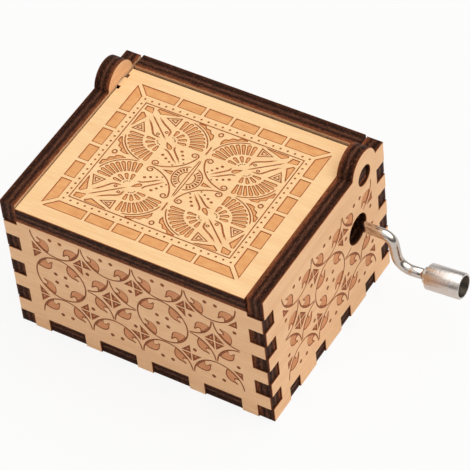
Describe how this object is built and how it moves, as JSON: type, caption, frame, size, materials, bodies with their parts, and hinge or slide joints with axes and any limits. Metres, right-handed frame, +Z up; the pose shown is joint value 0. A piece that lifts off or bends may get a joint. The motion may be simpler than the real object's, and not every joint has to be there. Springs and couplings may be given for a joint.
{
  "type": "hand-cranked music box",
  "caption": "Small finger-jointed plywood music box with a hinged engraved lid, a side crank with a turning knob, and a pinned-drum comb movement inside.",
  "frame": {"origin": "centre of the case's underside, on the surface it stands on", "axes": "+Z up, -Y towards the front, +X towards the crank"},
  "size_m": [0.0886, 0.0512, 0.042],
  "materials": {
    "birch_ply": "laser-cut birch plywood, bare, with scorched edges",
    "birch_ply_lid": "laser-engraved birch plywood, bare, with scorched edges",
    "die_cast_zinc": "matt die-cast zinc",
    "spring_steel": "ground spring steel",
    "zinc_plated_steel": "zinc-plated steel",
    "lead": "dull grey lead",
    "brass": "bright brass",
    "bronze": "sintered bronze",
    "acetal": "off-white moulded plastic",
    "nickel_plate": "polished nickel plate on steel"
  },
  "bodies": {
    "case": {"bottom_panel": "birch_ply", "front_panel": "birch_ply", "back_panel": "birch_ply", "left_panel": "birch_ply", "right_panel": "birch_ply", "bedplate": "die_cast_zinc", "bed_screws": "zinc_plated_steel", "front_drum_bracket": "zinc_plated_steel", "rear_drum_bracket": "zinc_plated_steel", "inner_bearing_block": "die_cast_zinc", "outer_bearing_block": "die_cast_zinc", "shaft_bushes": "bronze", "bracket_screws": "zinc_plated_steel", "comb": "spring_steel", "tuning_weights": "lead", "comb_strap": "brass", "comb_screws": "zinc_plated_steel"},
    "lid": {"lid": "birch_ply_lid"},
    "drum": {"drum_tube": "brass", "drum_pins": "spring_steel", "drum_cap": "acetal", "drum_gear": "acetal", "drum_arbor": "spring_steel", "arbor_clips": "spring_steel"},
    "crank": {"crank": "nickel_plate", "worm": "brass", "grip_washer": "nickel_plate", "knob_end_washer": "nickel_plate"},
    "knob": {"knob_sleeve": "nickel_plate"}
  },
  "joints": [
    {"name": "lid_hinge", "type": "hinge", "parent": "case", "child": "lid", "pos_m": [0, 0.0168, 0.0354], "axis": [-1, 0, 0], "range_deg": [0, 130]},
    {"name": "crank_turn", "type": "hinge", "parent": "case", "child": "crank", "pos_m": [0.004, 0.014, 0.02275], "axis": [1, 0, 0], "continuous": true},
    {"name": "drum_turn", "type": "hinge", "parent": "case", "child": "drum", "pos_m": [0.004, 0.014, 0.01445], "axis": [0, 1, 0], "continuous": true},
    {"name": "knob_spin", "type": "hinge", "parent": "crank", "child": "knob", "pos_m": [0.04081, 0.014, 0.01415], "axis": [0.9962, 0, 0.0872], "continuous": true}
  ],
  "couplings": [
    {"joint": "drum_turn", "follows": "crank_turn", "ratio": -0.041667}
  ]
}
